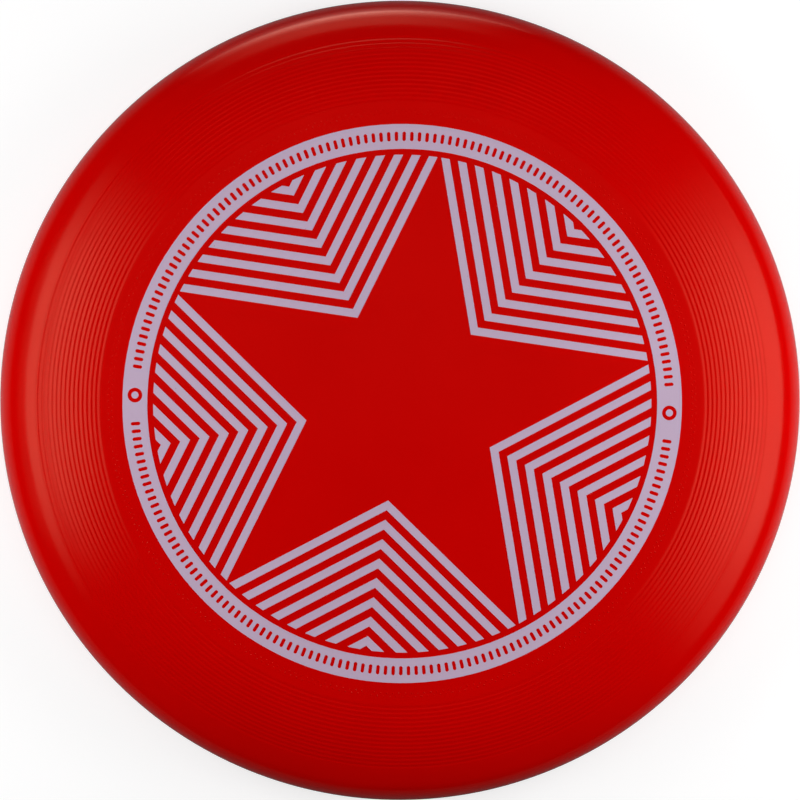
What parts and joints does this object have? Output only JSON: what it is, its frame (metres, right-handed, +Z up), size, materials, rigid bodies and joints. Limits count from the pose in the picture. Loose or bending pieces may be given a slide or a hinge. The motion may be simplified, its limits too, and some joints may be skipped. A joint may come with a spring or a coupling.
{
  "type": "flying disc",
  "caption": "Domed throwing disc with a thick rounded rim, concentric flight rings on its shoulder and a foil-stamped star panel on its plate.",
  "frame": {"origin": "the disc's axis, on the plane that its lip stands on", "axes": "+Z up along the disc's axis, through the printed side; the star's first point leans 8.5 degrees from +Y towards +X"},
  "size_m": [0.274, 0.274, 0.032],
  "materials": {
    "red_polyethylene": "satin injection-moulded polyethylene",
    "lilac_foil": "satin hot-stamped foil"
  },
  "bodies": {
    "root": {"disc_body": "red_polyethylene", "foil_band": "lilac_foil", "foil_dots": "lilac_foil", "foil_panel_1": "lilac_foil", "foil_panel_2": "lilac_foil", "foil_panel_3": "lilac_foil", "foil_panel_4": "lilac_foil", "foil_panel_5": "lilac_foil"}
  },
  "joints": []
}
